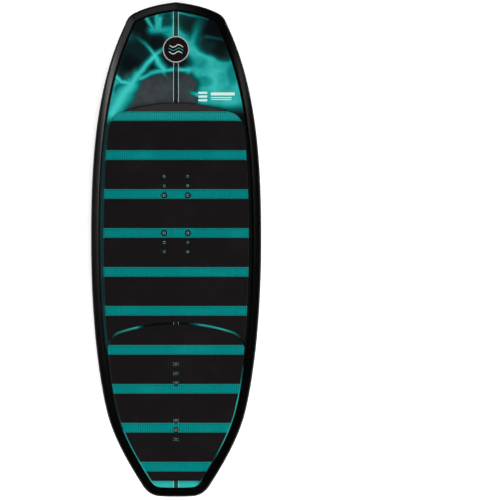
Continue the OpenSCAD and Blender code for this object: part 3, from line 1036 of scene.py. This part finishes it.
def rib_runs(x, low_y, high_y, plan, holes):
    """Stretches of the rib at x that stay inside the pad and clear of its holes."""
    samples = np.linspace(low_y, high_y, 45)
    good = np.ones(len(samples), bool)
    for offset in (-RIB_SIDE_ROOM, RIB_SIDE_ROOM):
        good &= inside(np.stack([np.full(len(samples), x + offset), samples], axis=1), plan)
    for hole_x, hole_y in holes:
        good &= np.hypot(x - hole_x, samples - hole_y) > PAD_HOLE_R + HOLE_CLEARANCE
    runs = []
    for is_good, run in groupby(zip(samples, good), key=lambda sample: bool(sample[1])):
        along = [y for y, _ in run]
        if is_good and along[-1] - along[0] > SHORTEST_RIB:
            runs.append((along[0], along[-1]))
    return runs


def rib(x, low_y, high_y):
    """One rib: a low bar with sloping sides and ends."""
    vertices = []
    for half, height, end in ((RIB_FOOT, GROOVE_H - 0.2 * MM, 0), (RIB_TOP, SHEET_T, 0.5 * MM)):
        low, high = low_y + end, high_y - end
        for across, y in ((-half, low), (half, low), (half, high), (-half, high)):
            vertices.append((x + across, y, deck_z(y) + height))
    return vertices, [(3, 2, 1, 0), (4, 5, 6, 7)] + ring_faces(0, 4, 2)


def stripe_ribs(plan, middle_y, holes):
    half = STRIPE_H / 2 - STRIPE_BORDER
    near = [h for h in holes if abs(h[1] - middle_y) < half + 2 * PAD_HOLE_R]
    count = int(WIDEST_PAD_X / RIB_PITCH)
    parts = []
    for k in range(-count, count):
        x = (k + 0.5) * RIB_PITCH
        for low_y, high_y in rib_runs(x, middle_y - half, middle_y + half, plan, near):
            parts.append(rib(x, low_y, high_y))
    return parts


# Profiles of the foam's edges: share of the bevel's width, height over the deck
SHEET_PROFILE = [
    (0.2, 0.0), (0, 0.25 * MM), (0, GROOVE_H - 0.8 * MM),
    (0.35, GROOVE_H - 0.25 * MM), (1, GROOVE_H),
]
RISER_PROFILE = [(0, GROOVE_H - 0.4 * MM), (0, SHEET_T)]
BAND_PROFILE = [
    (0, SHEET_T), (0, SHEET_T + BAND_T - 1.1 * MM), (0.12, SHEET_T + BAND_T - 0.75 * MM),
    (0.88, SHEET_T + BAND_T - 0.1 * MM), (1.15, SHEET_T + BAND_T),
]


def hole_profile(top):
    """Profile of a pad hole with a sloping lip at the foam's top."""
    return [
        (0, -2 * MM),
        (PAD_HOLE_R, -2 * MM),
        (PAD_HOLE_R, top - 1.2 * MM),
        (PAD_HOLE_R + LIP_W, top + 0.2 * MM),
        (PAD_HOLE_R + LIP_W, top + BAND_T),
        (0, top + BAND_T),
    ]


def on_stripe(hole):
    count = (FIRST_STRIPE_Y - hole[1]) / STRIPE_PITCH
    return abs(count - round(count)) * STRIPE_PITCH < STRIPE_H / 2


def make_pad(name, plan, bands, first_stripe, stripes, holes):
    """A teal under-layer with ribbed stripes, and the black bands on it."""
    middles = [stripe_y(first_stripe + k) for k in range(stripes)]
    lines = [middle + side * STRIPE_H / 2 for middle in middles for side in (-1, 1)]
    parts = [slab(plan, np.full(len(plan), 1.2 * MM), SHEET_PROFILE, deck_z)]
    band_loops = []
    for i in range(bands):
        loop = plan
        if i > 0:
            loop = clipped(loop, middles[i - 1] - STRIPE_H / 2, keep_above=False)
        if i < bands - 1:
            loop = clipped(loop, middles[i] + STRIPE_H / 2, keep_above=True)
        band_loops.append(loop)
        parts.append(slab(loop, np.zeros(len(loop)), RISER_PROFILE, deck_z, 40 * MM))
    sheet = new_piece(f"{name}_pad_foam", *joined(parts), PAD_TEAL)
    subtract(sheet, insert_cutter(holes, hole_profile(SHEET_T + BAND_T)))
    low_holes = [hole for hole in holes if on_stripe(hole)]
    subtract(sheet, insert_cutter(low_holes, hole_profile(SHEET_T)))
    # The sheet's sloping faces take the lighter copy of the teal foam: painted highlight.
    mark_faces(sheet, TEAL_EDGE_PAINTED_HIGHLIGHT, 0.5, 0.9)
    ribs = [bar for middle in middles for bar in stripe_ribs(plan, middle, holes)]
    rib_piece = new_piece(f"{name}_pad_ribs", *joined(ribs), RIB_TEAL)
    add_piece(sheet, "pad_teal", f"{name}_pad_sheet")
    add_piece(rib_piece, "pad_teal")
    for i, loop in enumerate(band_loops, start=1):
        widths = edge_widths(loop, lines)
        # The front pad's first band takes the lighter copy of the black foam: painted light.
        face = PAD_FRONT_BAND_PAINTED_LIGHT if name == "front" and i == 1 else PAD_BLACK
        band = new_piece(f"{name}_pad_top_{i}", *slab(loop, widths, BAND_PROFILE, deck_z), face)
        low_y, high_y = loop[:, 1].min(), loop[:, 1].max()
        near = [h for h in holes if low_y - 2 * PAD_HOLE_R < h[1] < high_y + 2 * PAD_HOLE_R]
        if near:
            subtract(band, insert_cutter(near, hole_profile(SHEET_T + BAND_T)))
        # The bands' sloping faces take the darker copy of the black foam: painted shade.
        mark_faces(band, PAD_EDGE_PAINTED_SHADE, 0.5, 0.985)
        add_piece(band, "pad_black", f"{name}_pad_band_{i}")


# -------- hardware

def make_inserts(name, places):
    housings, bushes = [], []
    for x, y in places:
        top = deck_z(y)
        bottom = top - HOUSING_L
        floor = top - BUSH_RECESS - BUSH_L
        housings.append(lathe((x, y), [
            (0, bottom), (HOUSING_R - 0.8 * MM, bottom), (HOUSING_R, bottom + 0.8 * MM),
            (HOUSING_R, top - 0.5 * MM), (HOUSING_R - 0.3 * MM, top - 0.1 * MM),
            (HOUSING_R - 0.9 * MM, top), (COLLAR_R + 0.4 * MM, top), (COLLAR_R, top - 0.2 * MM),
            (COLLAR_R, top - BUSH_RECESS + 0.05 * MM), (BUSH_R, top - BUSH_RECESS + 0.05 * MM),
            (BUSH_R, floor), (0, floor),
        ], 40))
        thread = []
        turns = 12
        pitch = (BUSH_L - 1.6 * MM) / turns
        for k in range(turns):
            z = floor + BUSH_L - 0.8 * MM - k * pitch
            thread += [(THREAD_R, z), (THREAD_R - 0.55 * MM, z - pitch / 2)]
        bushes.append(lathe((x, y), [
            (THREAD_R, floor), (BUSH_R, floor), (BUSH_R, floor + BUSH_L - 0.3 * MM),
            (BUSH_R - 0.3 * MM, floor + BUSH_L), (COLLAR_R - 0.1 * MM, floor + BUSH_L),
        ] + thread, 32))
    housing = new_piece(f"{name}_strap_housings", *joined(housings), INSERT_NYLON)
    bush = new_piece(f"{name}_strap_bushes", *joined(bushes), BUSH_STEEL)
    add_piece(housing, "insert_nylon", f"{name}_insert_housings")
    add_piece(bush, "bush_steel", f"{name}_insert_bushes")


def make_badge():
    """A domed face inside a raised silver ring, both following the deck."""
    def bent(vertices):
        return [(x, y, deck_z(y) + z) for x, y, z in vertices]
    def dome_z(radius):
        return 0.5 * MM + 0.9 * MM * math.sqrt(1 - (radius / ring_in) ** 2 * 0.98)
    ring_in = BADGE_R - BADGE_RING_W
    dome = [(radius, dome_z(radius)) for radius in np.linspace(ring_in, 0, 14)]
    face, face_faces = lathe((0, BADGE_Y), [(0, 0.0), (ring_in, 0.0)] + dome, 96)
    badge = new_piece("badge_dome", bent(face), face_faces, BADGE)
    rim, rim_faces = lathe((0, BADGE_Y), [
        (ring_in, 0.0), (BADGE_R, 0.0), (BADGE_R, 0.8 * MM),
        (BADGE_R - 0.5 * MM, 1.3 * MM), (ring_in + 0.5 * MM, 1.3 * MM), (ring_in, 0.9 * MM),
    ], 96)
    ring = new_piece("badge_ring", bent(rim), rim_faces, SILVER)
    add_piece(badge, "badge", "deck_badge")
    add_piece(ring, "badge")


def make_label():
    corner = 4 * MM
    half_w, half_l = LABEL_W / 2 - corner, LABEL_L / 2 - corner
    outline = []
    for k, (sx, sy) in enumerate(((1, 1), (-1, 1), (-1, -1), (1, -1))):
        for t in np.linspace(k * math.pi / 2, (k + 1) * math.pi / 2, 9):
            x, y = corner * math.cos(t), corner * math.sin(t)
            outline.append((sx * half_w + x, LABEL_Y + sy * half_l + y))
    outline = np.array(outline)
    loop = []
    for start, end in zip(outline, np.roll(outline, -1, axis=0)):
        steps = math.ceil(np.linalg.norm(end - start) / LABEL_STEP)
        loop.extend(start + (end - start) * k / steps for k in range(steps))
    loop = np.array(loop)
    widths = np.full(len(loop), 0.3 * MM)
    profile = [(0.5, -LABEL_PROUD), (0, -LABEL_PROUD / 2), (0, LABEL_T)]
    label = new_piece("base_sticker", *slab(loop, widths, profile, base_z, LABEL_STEP), LABEL)
    add_piece(label, "label", "base_label")


def dress_nodes():
    """Materials for the CAD nodes that stay, with softened edges on the hardware."""
    nuts = [f"track_nut_{side}_{end}" for side in ("left", "right") for end in ("front", "rear")]
    looks = [
        (CORE, ["core_left", "core_right"]),
        (WOOD, ["centre_stringer"]),
        (HARD_FOAM, ["foil_block", "front_insert_blocks", "rear_insert_blocks"]),
        (NYLON, ["foil_track_left", "foil_track_right"]),
        (NUT_STEEL, nuts),
    ]
    for material, names in looks:
        for name in names:
            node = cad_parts[name]
            node.data.materials.clear()
            node.data.materials.append(material)
            if material in (NYLON, NUT_STEEL):
                bevel = node.modifiers.new("edges", "BEVEL")
                bevel.width = 0.3 * MM
                bevel.segments = 2
                bevel.limit_method = "ANGLE"
                bevel.angle_limit = math.radians(40)


make_rail()
make_deck()
make_base()
FRONT_PLAN = pad_plan(front_edge_y, front_rear_edge_y)
TAIL_PLAN = pad_plan(tail_edge_y, lambda x: TAIL_PAD_END_Y)
make_pad("front", FRONT_PLAN, FRONT_BANDS, 0, FRONT_STRIPES, FRONT_INSERTS)
make_pad("tail", TAIL_PLAN, TAIL_BANDS, FRONT_STRIPES, TAIL_BANDS - 1, REAR_INSERTS)
make_inserts("front", FRONT_INSERTS)
make_inserts("rear", REAR_INSERTS)
make_badge()
make_label()
dress_nodes()


# -------- floor, light and camera

FLOOR_HALF = 6.0
FLOOR_Z = -0.3 * MM
HIGH_SKY = 0.02
LOW_SKY = 0.6
LEFT_WALL = 0.12
SIDE_LIGHT_PLACES = [(3.2, -1.0, 1.9), (-3.2, -1.2, 1.9), (1.0, 3.4, 1.9), (0.4, -3.6, 1.9)]
SIDE_LIGHT_AIM = (0.1, 0, 0)
SIDE_LIGHT_SIZE = 2.0
SIDE_LIGHT_POWER = 100
FRAME_SPAN = 1351 * MM
CAMERA_X = 199.5 * MM
CAMERA_Y = -0.65 * MM
LENS = 300.0
SENSOR = 36.0

# Soft boxes: direction towards them, cosines of their outer and inner edge, strength
SOFT_BOXES = [
    ((-0.655, 0.08, 0.75), 0.997, 0.9995, 7.6),
    ((0.64, 0.08, 0.77), 0.997, 0.9995, 1.6),
    ((-0.46, 0.12, 0.88), 0.976, 0.995, 0.85),
    ((-0.13, 0.27, 0.95), 0.976, 0.995, 0.5),
]


def make_floor():
    corners = [(x * FLOOR_HALF, y * FLOOR_HALF, FLOOR_Z) for x, y in ((-1, -1), (1, -1), (1, 1), (-1, 1))]
    paint = Paint("floor_white", Roughness=0.9, Emission_Color=(1, 1, 1, 1), Emission_Strength=0.4)
    paint.link("Base Color", paint.mix(paint.grain(3.0, 2.0), srgb(246, 246, 246), srgb(250, 250, 250)))
    floor = new_piece("studio_floor", corners, [(0, 1, 2, 3)], paint.material)


def add_side_light(place):
    data = bpy.data.lights.new("side_light", "AREA")
    data.shape = "SQUARE"
    data.size = SIDE_LIGHT_SIZE
    data.energy = SIDE_LIGHT_POWER
    light = bpy.data.objects.new("side_light", data)
    light.location = place
    light.visible_glossy = False
    light.rotation_euler = (Vector(SIDE_LIGHT_AIM) - Vector(place)).to_track_quat("-Z", "Y").to_euler()
    bpy.context.scene.collection.objects.link(light)


def make_world():
    """A studio, bright at the horizon and dark overhead, with soft boxes high up round the nose."""
    world = bpy.data.worlds.new("studio")
    world.use_nodes = True
    tree = world.node_tree
    place = tree.nodes.new("ShaderNodeTexCoord").outputs["Generated"]
    split = feed(tree, tree.nodes.new("ShaderNodeSeparateXYZ"), {0: place})
    x, y, z = (Field(tree, socket) for socket in split.outputs)
    sky = z.step(0.25, 0.03).spread(HIGH_SKY, LOW_SKY)
    wall = x.step(-0.35, -0.7) * y.step(-0.17, 0.09) * z.step(0.3, 0.45) * LEFT_WALL
    glow = sky + wall
    for toward, edge, core, strength in SOFT_BOXES:
        across, along, up = Vector(toward).normalized()
        facing = x * across + y * along + z * up
        glow = glow + facing.step(edge, core) * strength
    background = tree.nodes["Background"]
    background.inputs["Color"].default_value = (1, 1, 1, 1)
    tree.links.new(glow.socket, background.inputs["Strength"])
    bpy.context.scene.world = world


def make_camera():
    """Straight over the deck, with the board left of the picture's middle."""
    height = FRAME_SPAN * LENS / SENSOR + BOARD_T / 2
    data = bpy.data.cameras.new("camera")
    data.lens = LENS
    data.sensor_width = SENSOR
    camera = bpy.data.objects.new("camera", data)
    camera.location = (CAMERA_X, CAMERA_Y, height)
    bpy.context.scene.collection.objects.link(camera)
    bpy.context.scene.camera = camera


make_floor()
make_world()
for light_place in SIDE_LIGHT_PLACES:
    add_side_light(light_place)
make_camera()
bpy.context.scene.view_settings.view_transform = "Standard"
